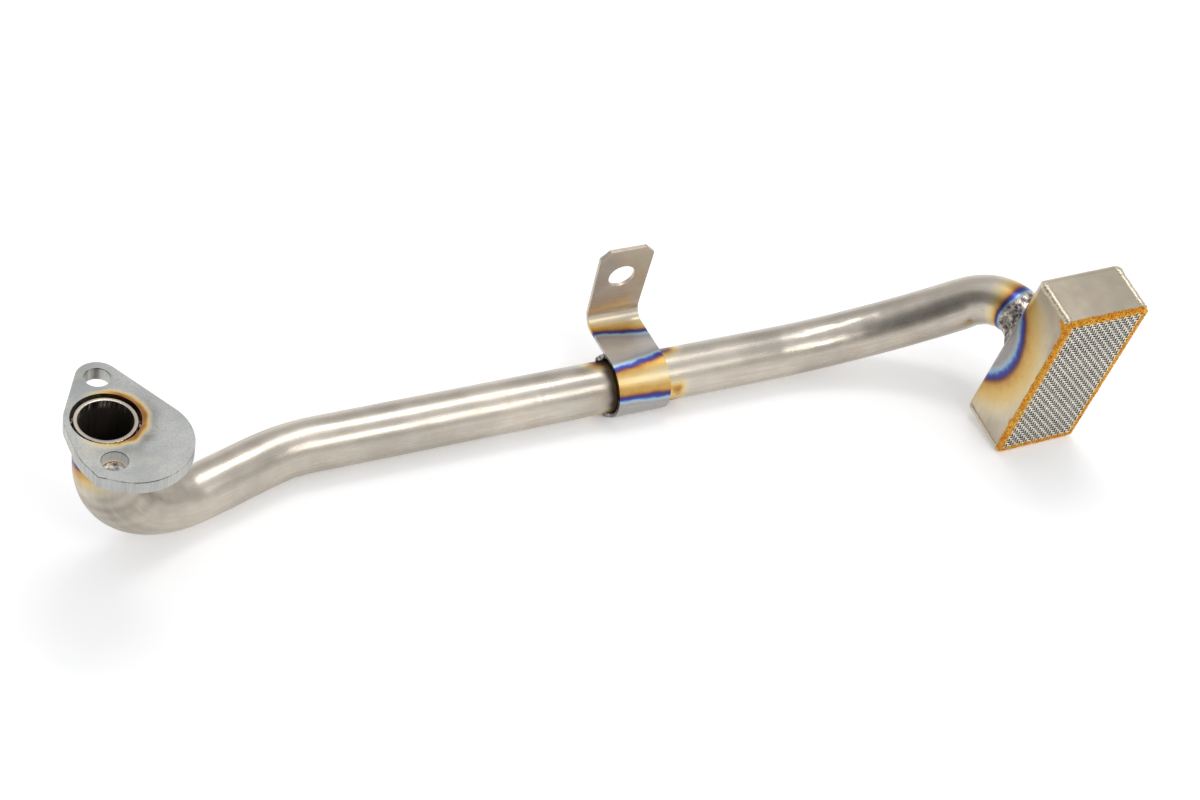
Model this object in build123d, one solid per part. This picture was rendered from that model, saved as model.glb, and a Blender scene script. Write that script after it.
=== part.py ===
from build123d import *
from math import cos, pi, radians, sin, tan
import os

# Oil pickup tube: a flange that bolts to the pump, one bent tube with a support
# strap, and a folded sheet box with a wire screen over its open face.
# It lies on a flat floor as it would come to rest: on the elbow, on the bead at
# the strap's toe and on the lower edge of the box's mouth. X runs along the tube.

# Tube: its size and its bends, from the flange to the box
tube_od = 19.05
tube_wall = 1.24
elbow_bend = 35.5
knee_bend = 62.0
rise_bend = 99.0
hook_bend = 20.5

# Tube: where its straights would meet, from a point below the knee
elbow_x = -67.7
elbow_y = -24.5
rise_x = 221.7
rise_y = 2.1
hook_straight = 22.9
neck_length = 54.8
neck_lean_x = 4.5
neck_lean_y = -3.3

# Flange plate, with lengths along its bolt line and to the side of it
flange_thickness = 4.76
flange_turn = -93.7
flange_bore_gap = 1.1
end_recess = 0.7
bolt_spacing = 35.4
bolt_hole = 8.25
ear_radius = 6.7
collar_radius = 12.4
lobe_radius = 17.8
lobe_along = 9.2
lobe_side = 7.0
corner_along = 22.7
corner_side = -5.2
corner_radius = 0.6
edge_break = 0.3

# Support strap, bent from flat strip
strap_width = 20.0
strap_thickness = 1.5
strap_gap = 0.5
strap_x = 128.4
strap_toe_angle = 51.0
strap_flat = 18.3
strap_bend = 4.0
strap_lean = 9.0
strap_tab = 31.5
strap_hole = 10.0
strap_hole_up = 17.2
strap_corner = 3.4
strap_toe_corner = 2.4

# Inlet box, folded from one sheet, and how it stands on the edge of its mouth
box_length = 72.5
box_width = 32.6
box_depth = 21.0
box_foot_deeper = 1.9
sheet = 1.25
sheet_bend = 2.2
box_yaw = 1.6
box_lean = 10.8
box_edge_x = 265.4
box_edge_y = -60.15
entry_along = -2.8
entry_across = 0.0
entry_depth = 2.0
entry_clearance = 0.1

# Screen over the mouth of the box, and the braze that holds it
screen_thickness = 1.3
screen_lap = 0.4
screen_border = 1.0
wire_width = 1.5
long_wires = 6
cross_wires = 15
braze_proud = 0.5
braze_lip = 0.9
braze_height = 1.5

# Weld beads
weld_fit = 0.05
flange_weld_leg = 2.4
box_weld_leg = 3.2
seam_radius = 1.6
seam_inset = 1.1
seam_start = 0.4
seam_gap = 0.15
strap_bead = 1.4
strap_bead_overrun = 3.6

# Sizes that follow from the ones above
tube_radius = tube_od / 2
bore_radius = tube_radius - tube_wall
strap_inner = tube_radius + strap_gap
strap_middle = strap_inner + strap_thickness / 2
toe_bead_reach = tube_radius + 0.6 * strap_bead
toe_bead_angle = radians(strap_toe_angle) + 0.7 * strap_bead / toe_bead_reach
strap_drop = toe_bead_reach * sin(toe_bead_angle) + strap_bead
seam_notch = sheet + seam_gap


def unit(x, y, z):
    return Vector(x, y, z).normalized()


def run_height(x):
    """Height of the tube's centre line between the elbow and the rise."""
    share = (x - elbow_x) / (strap_x - elbow_x)
    return tube_radius + (strap_drop - tube_radius) * share


# The box stands on the lower edge of its mouth and leans over it
lean_out = cos(radians(box_lean))
lean_down = sin(radians(box_lean))
yaw_x = sin(radians(box_yaw))
yaw_y = -cos(radians(box_yaw))
box_out = unit(lean_out * yaw_x, lean_out * yaw_y, -lean_down)
box_along = unit(lean_down * yaw_x, lean_down * yaw_y, lean_out)
mouth_foot = Vector(box_edge_x, box_edge_y, 0)
box_middle = (
    mouth_foot
    + box_along * (box_length / 2 + braze_proud)
    - box_out * (box_depth + braze_height)
)
box_plane = Plane(origin=box_middle, x_dir=box_along, z_dir=box_out)

# The back slopes, so that the box is deeper at its foot
back_rise = unit(box_length, 0, box_foot_deeper)
back_along = box_along * back_rise.X + box_out * back_rise.Z
back_out = box_out * back_rise.X - box_along * back_rise.Z
back_plane = Plane(
    origin=box_middle - box_out * box_foot_deeper / 2, x_dir=back_along, z_dir=back_out
)

# Corners of the tube's centre line
neck = unit(tan(radians(neck_lean_x)), tan(radians(neck_lean_y)), 1)
elbow = Vector(elbow_x, elbow_y, run_height(elbow_x))
tube_end = elbow + neck * neck_length
knee = Vector(0, 0, run_height(0))
rise = Vector(rise_x, rise_y, run_height(rise_x))
entry = back_plane.from_local_coords(Vector(entry_along, entry_across, 0))
hook = entry - back_out * hook_straight
tube_corners = [tube_end, elbow, knee, rise, hook, entry + back_out * entry_depth]
tube_bends = [elbow_bend, knee_bend, rise_bend, hook_bend]

flange_plane = Plane(
    origin=tube_end + neck * end_recess,
    x_dir=(cos(radians(flange_turn)), sin(radians(flange_turn)), 0),
    z_dir=neck,
)
run_direction = (rise - knee).normalized()
strap_plane = Plane(
    origin=(strap_x, rise_y * strap_x / rise_x, run_height(strap_x)),
    x_dir=(0, 1, 0),
    z_dir=run_direction,
)
entry_plane = Plane(origin=entry, x_dir=back_along, z_dir=-back_out)


def bent_path(corners, bends):
    """Straights joined by round bends, each bend tangent to both its straights."""
    pieces = []
    start = corners[0]
    for before, corner, after, bend in zip(corners, corners[1:], corners[2:], bends):
        back = (before - corner).normalized()
        ahead = (after - corner).normalized()
        half_turn = (pi - radians(back.get_angle(ahead))) / 2
        reach = bend * tan(half_turn)
        to_middle = (back + ahead).normalized() * (bend / cos(half_turn) - bend)
        finish = corner + ahead * reach
        pieces.append(Line(start, corner + back * reach))
        pieces.append(ThreePointArc(corner + back * reach, corner + to_middle, finish))
        start = finish
    pieces.append(Line(start, corners[-1]))
    return Wire(pieces)


def make_tube():
    section = Circle(tube_radius) - Circle(bore_radius)
    end_plane = Plane(origin=tube_end, x_dir=(1, 0, 0), z_dir=-neck)
    return sweep(sections=end_plane * section, path=bent_path(tube_corners, tube_bends))


def make_flange():
    ear = Pos(-bolt_spacing / 2, 0) * Circle(ear_radius)
    lobe = Pos(lobe_along, lobe_side) * Circle(lobe_radius)
    corner = Pos(corner_along, corner_side) * Circle(corner_radius)
    rounds = [ear, Circle(collar_radius), lobe, corner]
    outline = make_hull([edge for sketch in rounds for edge in sketch.edges()])
    plate = extrude(outline, amount=-flange_thickness)
    plate = chamfer(plate.faces().sort_by(Axis.Z)[-1].edges(), edge_break)
    plate -= extrude(Circle(tube_radius + flange_bore_gap), amount=-flange_thickness)
    for along in (-bolt_spacing / 2, bolt_spacing / 2):
        plate -= extrude(Pos(along, 0) * Circle(bolt_hole / 2), amount=-flange_thickness)
    return flange_plane * plate


def fillet_ring(radius, leg):
    """A weld in the corner between a tube and a face, seen from the tube's axis."""
    foot = (radius + leg, 0)
    top = (radius, leg)
    sag = (radius + leg * 0.4, leg * 0.4)
    profile = make_face(Polyline((radius, 0), foot, sag, top, close=True))
    return revolve(Plane.XZ * profile, Axis.Z)


def make_flange_weld():
    """The bead under the plate, with its root in the gap round the tube."""
    bead = fillet_ring(tube_radius + weld_fit, flange_weld_leg)
    root_outer = Circle(tube_radius + flange_bore_gap - weld_fit)
    root = extrude(root_outer - Circle(tube_radius + weld_fit), amount=-flange_thickness / 2)
    under = Plane(
        origin=flange_plane.origin - neck * flange_thickness,
        x_dir=flange_plane.x_dir,
        z_dir=-neck,
    )
    return under * (bead + root)


def strap_profile():
    bend_middle = strap_bend + strap_thickness / 2
    turn = 90 + strap_lean
    wrap = CenterArc((0, 0), strap_middle, 90, 90 + strap_toe_angle)
    flat = Line((0, strap_middle), (strap_flat, strap_middle))
    bend = CenterArc((strap_flat, strap_middle + bend_middle), bend_middle, -90, turn)
    tab_end = (bend @ 1) + (bend % 1) * strap_tab
    return wrap, flat, bend, Line(bend @ 1, tab_end)


def make_strap():
    wrap, flat, bend, tab = strap_profile()
    shape = extrude(trace([wrap, flat, bend, tab], strap_thickness), amount=strap_width / 2, both=True)
    tab_way = tab % 0
    tab_face_way = Vector(tab_way.Y, -tab_way.X, 0)
    across_sheet = shape.edges().filter_by(Axis((0, 0, 0), tab_face_way))
    top_corners = across_sheet.sort_by(Axis((0, 0, 0), tab_way))[-2:]
    shape = chamfer(top_corners, strap_corner)
    toe_way = wrap % 1
    radial = Vector(toe_way.Y, -toe_way.X, 0)
    toe_edges = shape.edges().filter_by(Axis((0, 0, 0), radial)).sort_by(Axis.Y)[:2]
    shape = chamfer(toe_edges.sort_by(Axis.Z)[-1], strap_toe_corner)
    hole_plane = Plane(origin=(tab @ 0) + tab_way * strap_hole_up, x_dir=(0, 0, 1), z_dir=tab_face_way)
    shape -= hole_plane * Cylinder(strap_hole / 2, 4 * strap_thickness)
    return shape


def round_ended_bead(length, radius):
    ends = Pos(0, 0, length / 2) * Sphere(radius) + Pos(0, 0, -length / 2) * Sphere(radius)
    return Cylinder(radius, length) + ends


def make_strap_bead(x, y, strap):
    """A bead laid along the strap's edge, filling the corner down to the tube."""
    length = strap_width + 2 * strap_bead_overrun - 2 * strap_bead
    bead = Pos(x, y, 0) * round_ended_bead(length, strap_bead)
    return bead - Cylinder(tube_radius + weld_fit, 4 * strap_width) - strap


def make_strap_parts():
    strap = make_strap()
    toe_x = -toe_bead_reach * cos(toe_bead_angle)
    toe_y = -toe_bead_reach * sin(toe_bead_angle)
    toe = make_strap_bead(toe_x, toe_y, strap)
    crown_y = strap_inner - 0.8 * strap_bead
    crown_x = ((tube_radius + 0.8 * strap_bead) ** 2 - crown_y ** 2) ** 0.5
    crown = make_strap_bead(crown_x, crown_y, strap)
    return strap_plane * strap, strap_plane * toe, strap_plane * crown


def back_height(along):
    """How far the sloping back lies above or below the back at the box's head."""
    return -box_foot_deeper * (0.5 - along / box_length)


def box_block(inset, bend):
    """The box filled solid, with round bends between its back and its four walls."""
    head = box_length / 2 - inset
    side = Polyline(
        (head, box_depth),
        (head, back_height(head) + inset),
        (-head, back_height(-head) + inset),
        (-head, box_depth),
        close=True,
    )
    block = extrude(Plane.XZ * make_face(side), amount=box_width / 2 - inset, both=True)
    return fillet(block.faces().sort_by(Axis.Z)[0].edges(), bend)


def box_corners():
    return [(x * box_length / 2, y * box_width / 2) for x in (-1, 1) for y in (-1, 1)]


def toward_middle(corner, inset):
    x, y = corner
    return x - inset * x / abs(x), y - inset * y / abs(y)


def seam_span(corner):
    """The height of a corner seam, from the bends of the back to the braze."""
    low = back_height(corner[0]) + sheet_bend + sheet + seam_start
    return low, box_depth - braze_lip - low


def make_box():
    box = box_block(0, sheet_bend + sheet) - box_block(sheet, sheet_bend)
    for corner in box_corners():
        low, tall = seam_span(corner)
        x, y = toward_middle(corner, seam_notch / 2)
        box -= Pos(x, y, low + tall / 2) * Box(seam_notch, seam_notch, tall)
    entry_hole = Cylinder(tube_radius + entry_clearance, 4 * sheet)
    return box_plane * box - entry_plane * entry_hole


def make_corner_weld(corner):
    """A seam that closes the notch between two walls and stands a little proud."""
    low, tall = seam_span(corner)
    x, y = toward_middle(corner, seam_inset)
    rod = Pos(x, y, low + tall / 2) * Cylinder(seam_radius, tall)
    block = Pos(0, 0, box_depth / 2) * Box(box_length, box_width, box_depth)
    notch_x, notch_y = toward_middle(corner, seam_notch / 2)
    notch = Pos(notch_x, notch_y, box_depth / 2) * Box(seam_notch, seam_notch, box_depth)
    return rod - (block - notch)


def make_screen():
    """Crossed wires in a border, the long wires lying over the cross wires."""
    length = box_length - 2 * (sheet - screen_lap)
    width = box_width - 2 * (sheet - screen_lap)
    layer = screen_thickness * 0.6
    border = Rectangle(length, width)
    border -= Rectangle(length - 2 * screen_border, width - 2 * screen_border)
    screen = extrude(border, amount=screen_thickness)
    for k in range(long_wires):
        y = -width / 2 + width * (k + 1) / (long_wires + 1)
        screen += Pos(0, y, screen_thickness - layer / 2) * Box(length, wire_width, layer)
    for k in range(cross_wires):
        x = -length / 2 + length * (k + 1) / (cross_wires + 1)
        screen += Pos(x, 0, layer / 2) * Box(wire_width, width, layer)
    return Pos(0, 0, box_depth) * screen


def make_braze():
    """A ring over the rim of the walls, with a lip down their outside."""
    outer_length = box_length + 2 * braze_proud
    outer_width = box_width + 2 * braze_proud
    screen_inset = 2 * (sheet - screen_lap)
    ring = Rectangle(outer_length, outer_width)
    ring -= Rectangle(box_length - screen_inset, box_width - screen_inset)
    lip = Rectangle(outer_length, outer_width) - Rectangle(box_length, box_width)
    braze = extrude(ring, amount=braze_height)
    braze += extrude(lip, amount=-braze_lip)
    return Pos(0, 0, box_depth) * braze


def build():
    strap, toe_bead, crown_bead = make_strap_parts()
    nodes = {
        "pickup_tube": make_tube(),
        "flange_plate": make_flange(),
        "flange_weld": make_flange_weld(),
        "support_strap": strap,
        "strap_toe_weld": toe_bead,
        "strap_crown_weld": crown_bead,
        "inlet_box": make_box(),
        "tube_to_box_weld": entry_plane * fillet_ring(tube_radius + weld_fit, box_weld_leg),
        "screen": box_plane * make_screen(),
        "screen_braze": box_plane * make_braze(),
    }
    for number, corner in enumerate(box_corners(), start=1):
        nodes[f"box_corner_weld_{number}"] = box_plane * make_corner_weld(corner)
    return nodes


def place(nodes):
    """Move the whole part so that the middle of its base is at the origin."""
    extent = Compound(list(nodes.values())).bounding_box()
    centre = extent.center()
    shift = Pos(-centre.X, -centre.Y, -extent.min.Z)
    return {name: shift * shape for name, shape in nodes.items()}


os.makedirs("parts", exist_ok=True)
for name, shape in place(build()).items():
    export_step(shape, f"parts/{name}.step")
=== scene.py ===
import math

import bmesh
import bpy
import numpy as np
from mathutils import Matrix, Vector, geometry, noise


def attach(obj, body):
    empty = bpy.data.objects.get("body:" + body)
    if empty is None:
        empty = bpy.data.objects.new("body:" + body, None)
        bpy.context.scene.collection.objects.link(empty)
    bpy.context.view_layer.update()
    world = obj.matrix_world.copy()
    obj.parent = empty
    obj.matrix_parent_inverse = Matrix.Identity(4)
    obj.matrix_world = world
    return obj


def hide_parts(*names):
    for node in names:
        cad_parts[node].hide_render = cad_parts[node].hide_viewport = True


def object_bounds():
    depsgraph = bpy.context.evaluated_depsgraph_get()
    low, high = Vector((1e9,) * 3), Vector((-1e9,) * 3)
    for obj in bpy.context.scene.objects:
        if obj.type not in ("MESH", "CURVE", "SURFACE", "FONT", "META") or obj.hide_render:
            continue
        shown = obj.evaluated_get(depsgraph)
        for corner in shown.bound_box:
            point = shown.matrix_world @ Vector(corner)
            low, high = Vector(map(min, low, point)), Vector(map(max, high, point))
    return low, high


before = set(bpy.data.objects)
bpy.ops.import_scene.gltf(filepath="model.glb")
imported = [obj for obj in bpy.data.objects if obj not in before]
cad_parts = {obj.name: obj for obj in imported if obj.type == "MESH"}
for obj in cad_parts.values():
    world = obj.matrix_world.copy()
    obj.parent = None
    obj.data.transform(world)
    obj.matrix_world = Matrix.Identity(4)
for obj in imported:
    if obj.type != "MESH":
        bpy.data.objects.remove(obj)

bl_info = {
    "name": "Oil Pickup Tube",
    "version": (1, 0, 0),
    "blender": (4, 5, 0),
    "location": "3D View > Sidebar > Pickup Tube",
    "description": "Builds a welded oil pickup tube with its heat tints, woven screen and studio",
    "category": "Object",
}

CAD_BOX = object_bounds()
BODY = "root"
MM = 0.001
SHARP_FROM = math.radians(50)

# Corners of the tube's centre line, from the flange to the box, in millimetres
TUBE_END = (-166.653, -3.007, 64.098)
ELBOW = (-170.945, 0.138, 9.557)
KNEE = (-103.245, 24.638, 9.733)
RISE = (118.455, 26.738, 10.309)
HOOK = (161.062, 3.592, 42.668)
ENTRY = (161.687, -18.773, 37.789)
BENDS = (35.5, 62.0, 99.0, 20.5)
TUBE_RADIUS = 9.525
BORE_RADIUS = 8.285
ENTRY_DEPTH = 2.0
SKIN_BELOW = 0.02
DEEPEST_WEAR = 0.6

# Flange plate: its rounds are given as x, y and radius
PLATE_THICKNESS = 4.76
PLATE_TURN = math.radians(-93.7)
PLATE_ABOVE_END = 0.7
PLATE_BORE = 10.625
BOLT_SPACING = 35.4
BOLT_RADIUS = 4.125
FAR_EAR = (-BOLT_SPACING / 2, 0, 6.7)
HUB = (0, 0, 12.4)
LOBE = (9.2, 7.0, 17.8)
SHARP_CORNER = (22.7, -5.2, 0.6)

# Support strap, along the middle of its strip from the top of the tube
STRAP_X = 128.4
STRAP_MIDDLE = 10.775
STRAP_THICKNESS = 1.5
STRAP_WIDTH = 20.0
STRAP_FLAT = 18.3
STRAP_BEND = 4.75
STRAP_TURN = math.radians(99)
STRAP_WRAP = math.radians(141)
STRAP_TAB = 31.5
TAB_SHORTER = 0.7
STRAP_HOLE_UP = 17.2
STRAP_HOLE = 5.0
TAB_CLIP = 3.4
TAB_FLARE = 0.7
TOE_CLIP = 2.4

# The two beads under the strap, across the run and above it
TOE_BEAD = (-5.75, -8.6)
CROWN_BEAD = (5.85, 8.95)

# Inlet box, in its own directions: along its length, across it and out of its mouth
BOX_MIDDLE = (161.730, -20.303, 40.347)
BOX_YAW = math.radians(1.6)
BOX_LEAN = math.radians(10.8)
BOX_LENGTH = 72.5
BOX_WIDTH = 32.6
BOX_DEPTH = 21.0
BOX_FOOT_DEEPER = 1.9
ENTRY_ALONG = -2.8
INSIDE_FROM = 1.08

# Screen and braze: from the box's outer faces to the cloth's rim, and from its mouth to the cloth
SCREEN_INSET = 0.9
SCREEN_ABOVE = 0.65
BRAZE_CORNER = 1.8
BRAZE_STEP = 0.3

# Away from a weld the heat falls to a blue line, drops fast to gold, then fades over the straw
BLUE_HEAT = 0.635
GOLD_HEAT = 0.46
MELT_DROP = 0.2
HEAT_DROP = 0.10
HEAT_RISE = 0.06
BOX_DROP = 0.062
BOX_RISE = 0.034

# How far from each weld its blue line lies, and how fast the straw outside it fades
TUBE_BLUE_BY_BOX, TUBE_TAIL_BY_BOX = 14.8, 0.06
TUBE_BLUE_BY_PLATE, TUBE_TAIL_BY_PLATE = 11.8, 0.010
TUBE_BLUE_BY_STRAP, TUBE_TAIL_BY_STRAP = 3.0, 0.09
CROWN_BLUE, CROWN_TAIL = 8.4, 0.05
FOOT_BLUE, FOOT_TAIL = 15.0, 0.02
BOX_BLUE, BOX_TAIL = 25.4, 0.02
MELTED_FOR = 14.2

# Camera, fitted to the photograph: its place in metres and the way from the part to it
CAMERA_PLACE = (-0.240796, -0.447063, 0.483385)
CAMERA_AZIMUTH = math.radians(-118.2511)
CAMERA_ELEVATION = math.radians(41.7859)
CAMERA_ROLL = math.radians(8.8450)
CAMERA_LENS = 60.0
CAMERA_SENSOR = 36.0

# Studio, in metres
FLOOR_RADIUS = 6.0
LIGHT_AIM = (0.0, 0.0, 0.03)
LIGHT_DISTANCE = 1.5
SOFTBOX_WIDTH = 0.62
DARK_SIDE = (-0.84, -0.42, 0.34)
DARK_SHARE = 0.3


def unit(ways):
    """A direction, or each row of many, made one long."""
    ways = np.asarray(ways, float)
    return ways / np.linalg.norm(ways, axis=-1, keepdims=True)


def linear(red, green, blue):
    """A colour as seen on a screen, from 0 to 255, turned into the light it stands for."""
    shares = (red / 255, green / 255, blue / 255)
    return tuple(c / 12.92 if c <= 0.04 else ((c + 0.055) / 1.055) ** 2.4 for c in shares)


def shaded(colour, *shares):
    """A colour times one share, or times a share for red, green and blue each."""
    return tuple(min(1.0, float(c * share)) for c, share in zip(colour, np.broadcast_to(shares, 3)))


class Axes:
    """A place in space with an x, a y and a z direction of its own."""

    def __init__(self, origin, x_way, z_way):
        self.origin = np.asarray(origin, float)
        self.z = unit(z_way)
        x_way = np.asarray(x_way, float)
        self.x = unit(x_way - self.z * (x_way @ self.z))
        self.y = np.cross(self.z, self.x)

    def out(self, local):
        local = np.asarray(local, float)
        return self.origin + local[..., :1] * self.x + local[..., 1:2] * self.y + local[..., 2:] * self.z

    def into(self, world):
        away = np.asarray(world, float) - self.origin
        return np.stack([away @ self.x, away @ self.y, away @ self.z], axis=-1)


NECK = unit(np.subtract(TUBE_END, ELBOW))
RUN = unit(np.subtract(RISE, KNEE))
PLATE = Axes(
    np.add(TUBE_END, NECK * PLATE_ABOVE_END),
    (math.cos(PLATE_TURN), math.sin(PLATE_TURN), 0),
    NECK,
)
UNDER_PLATE = Axes(PLATE.origin - PLATE.z * PLATE_THICKNESS, PLATE.x, -PLATE.z)
STRAP = Axes(np.add(KNEE, RUN * STRAP_X), (0, 1, 0), RUN)
BOX_FACING = np.array([math.sin(BOX_YAW), -math.cos(BOX_YAW), 0])
BOX_OUT = BOX_FACING * math.cos(BOX_LEAN) - (0, 0, math.sin(BOX_LEAN))
BOX_ALONG = BOX_FACING * math.sin(BOX_LEAN) + (0, 0, math.cos(BOX_LEAN))
BOX = Axes(BOX_MIDDLE, BOX_ALONG, BOX_OUT)
BACK_SLOPE = BOX_FOOT_DEEPER / BOX_LENGTH
BACK = Axes(ENTRY, BOX_ALONG + BOX_OUT * BACK_SLOPE, BOX_ALONG * BACK_SLOPE - BOX_OUT)


# Noise, heat and meshes
def rough(points, size, seed):
    """Smooth noise from -1 to 1 at each point, with lumps of about that size in millimetres."""
    shift = Vector((seed * 7.3, seed * 3.1, seed * 5.7))
    flat = np.asarray(points, float).reshape(-1, 3) / size
    values = [noise.noise(Vector(p) + shift) for p in flat]
    return np.array(values).reshape(np.asarray(points).shape[:-1])


def bump(distance, reach):
    """1 at distance 0, falling smoothly to nothing at a few times the reach."""
    return np.exp(-((np.asarray(distance) / reach) ** 2))


def heat_lines(blue_at, tail, rise, drop):
    """Slope and start of the four straight lines that heat follows away from a weld."""
    gold_at = blue_at + (BLUE_HEAT - GOLD_HEAT) / drop
    return (
        (-rise, BLUE_HEAT + rise * blue_at),
        (-MELT_DROP / blue_at, 1.0),
        (-drop, BLUE_HEAT + drop * blue_at),
        (-tail, GOLD_HEAT + tail * gold_at),
    )


def heat_at(distance, blue_at, tail):
    """How hot metal became at a distance from a weld that turned it blue at blue_at."""
    lines = heat_lines(blue_at, tail, HEAT_RISE, HEAT_DROP)
    near, melted, drop, straw = (slope * distance + start for slope, start in lines)
    return np.clip(np.minimum(np.minimum(near, melted), np.maximum(drop, straw)), 0, 1)


def full_turn(count):
    """Angles all round, evenly apart."""
    return np.arange(count) * 2 * math.pi / count


def spokes(sides, others, count):
    """Directions all round each place of a route, from its two side directions."""
    turns = full_turn(count)[None, :, None]
    return np.cos(turns) * sides[:, None] + np.sin(turns) * others[:, None]


def run_lengths(points):
    """How far along a route each of its points lies."""
    return np.concatenate([[0], np.cumsum(np.linalg.norm(np.diff(points, axis=0), axis=1))])


def grid_faces(rows, columns, close_rows=False):
    """Quads between the neighbours of a grid of points that is closed round its columns."""
    faces = []
    for r in range(rows if close_rows else rows - 1):
        below = r * columns
        above = ((r + 1) % rows) * columns
        for c in range(columns):
            d = (c + 1) % columns
            faces.append((below + c, below + d, above + d, above + c))
    return faces


def make_piece(name, points, faces, nodes, straight=None, heat=0.0, soot_and_shade=0.0):
    """A mesh in millimetres that stands for the named nodes of the frame.

    straight is where each point would be if the piece were straight or flat, heat is
    how strongly it was heated, and the last value is how dark smoke stains and painted shade make it; the
    materials read them.
    """
    points = np.asarray(points, float).reshape(-1, 3)
    straight = points if straight is None else np.asarray(straight, float).reshape(-1, 3)
    heat, soot_and_shade = (np.broadcast_to(np.ravel(value), len(points)) for value in (heat, soot_and_shade))
    shell = bmesh.new()
    straight_layer = shell.verts.layers.float_vector.new("straight")
    heat_layer = shell.verts.layers.float.new("warmth")
    # This layer carries smoke stains together with painted shade.
    soot_and_shade_layer = shell.verts.layers.float.new("soot_and_shade")
    corners = []
    places = np.clip(points * MM, *np.array([list(corner) for corner in CAD_BOX]))
    for place, flat, warm, black in zip(places, straight * MM, heat, soot_and_shade):
        corner = shell.verts.new(place)
        corner[straight_layer] = flat
        corner[heat_layer] = warm
        corner[soot_and_shade_layer] = black
        corners.append(corner)
    for face in faces:
        shell.faces.new([corners[i] for i in face]).smooth = True
    bmesh.ops.recalc_face_normals(shell, faces=shell.faces[:])
    piece = object_from(shell, name)
    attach(piece, BODY)
    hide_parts(*nodes)
    return piece


def object_from(shell, name):
    """A linked object with the faces of a bmesh."""
    mesh = bpy.data.meshes.new(name)
    shell.to_mesh(mesh)
    shell.free()
    made = bpy.data.objects.new(name, mesh)
    bpy.context.scene.collection.objects.link(made)
    return made


def soften_edges(piece, width):
    """A small round on every sharp edge, its width in millimetres, with clean shading."""
    bevel = piece.modifiers.new("edge_round", "BEVEL")
    bevel.width = width * MM
    bevel.segments = 2
    bevel.limit_method = "ANGLE"
    bevel.angle_limit = SHARP_FROM
    bevel.harden_normals = True


def finish_with(piece, material):
    piece.data.materials.clear()
    piece.data.materials.append(material)


# Sheet pieces
def even_outline(corners, step):
    """Points all round a closed outline, about one step apart."""
    outline = []
    for start, end in zip(corners, np.roll(corners, -1, axis=0)):
        count = max(1, round(np.linalg.norm(end - start) / step))
        outline += [start + (end - start) * k / count for k in range(count)]
    return np.array(outline)


def circle(x, y, radius, count):
    """Points round a circle."""
    turns = full_turn(count)
    return np.stack([x + radius * np.cos(turns), y + radius * np.sin(turns)], axis=1)


def hull(points):
    """The outline of a rubber band round the points."""
    points = sorted(map(tuple, points))
    sides = []
    for way in (points, points[::-1]):
        side = []
        for p in way:
            while len(side) > 1 and np.cross(np.subtract(side[-1], side[-2]), np.subtract(p, side[-1])) <= 0:
                side.pop()
            side.append(p)
        sides += side[:-1]
    return np.array(sides)


def inside(points, outline):
    """Which points lie inside a closed outline."""
    x, y = points[:, 0], points[:, 1]
    found = np.zeros(len(points), bool)
    for (x0, y0), (x1, y1) in zip(outline, np.roll(outline, -1, axis=0)):
        crosses = (y0 > y) != (y1 > y)
        with np.errstate(divide="ignore", invalid="ignore"):
            found ^= crosses & (x < (x1 - x0) * (y - y0) / (y1 - y0) + x0)
    return found


def on_sheet(points, outline, holes):
    """Which points lie inside an outline and in none of its holes."""
    kept = inside(points, outline)
    for hole in holes:
        kept &= ~inside(points, hole)
    return kept


def cut_sheet(outline, holes, step):
    """Triangles that fill an outline apart from its holes: points, triangles and rim edges."""
    loops = [outline, *holes]
    low, high = outline.min(axis=0), outline.max(axis=0)
    across, up = np.meshgrid(np.arange(low[0], high[0], step), np.arange(low[1], high[1], step))
    across[1::2] += step / 2
    field = np.stack([across.ravel(), up.ravel()], axis=1)
    kept = on_sheet(field, outline, holes)
    for loop in loops:
        kept &= np.linalg.norm(field[:, None] - loop[None], axis=2).min(axis=1) >= 0.55 * step
    points = [Vector(p) for loop in loops for p in loop] + [Vector(p) for p in field[kept]]
    edges = []
    first = 0
    for loop in loops:
        edges += [(first + k, first + (k + 1) % len(loop)) for k in range(len(loop))]
        first += len(loop)
    found, _, triangles, *_ = geometry.delaunay_2d_cdt(points, edges, [], 0, 1e-5)
    found = np.array([tuple(p) for p in found])
    triangles = np.array(triangles)
    triangles = triangles[on_sheet(found[triangles].mean(axis=1), outline, holes)]
    seen = {edge: None for a, b, c in triangles for edge in ((a, b), (b, c), (c, a))}
    rim = [edge for edge in seen if (edge[1], edge[0]) not in seen]
    return found, triangles, rim


def thick_sheet(outline, holes, step, thickness, shape, layers=3):
    """A sheet of even thickness: shape(plan points, height) gives where each point goes."""
    plan, triangles, rim = cut_sheet(outline, holes, step)
    count = len(plan)
    points, straight = [], []
    for height in np.linspace(thickness / 2, -thickness / 2, layers):
        points.append(shape(plan, height))
        straight.append(np.column_stack([plan, np.full(count, height)]))
    last = count * (layers - 1)
    faces = [tuple(t) for t in triangles]
    faces += [tuple(last + i for i in reversed(t)) for t in triangles]
    for a, b in rim:
        for upper in range(0, last, count):
            faces.append((upper + b, upper + a, upper + count + a, upper + count + b))
    points, straight = np.concatenate(points), np.concatenate(straight)
    kept = sorted({i for face in faces for i in face})
    number = {old: new for new, old in enumerate(kept)}
    faces = [tuple(number[i] for i in face) for face in faces]
    return points[kept], faces, straight[kept]


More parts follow.
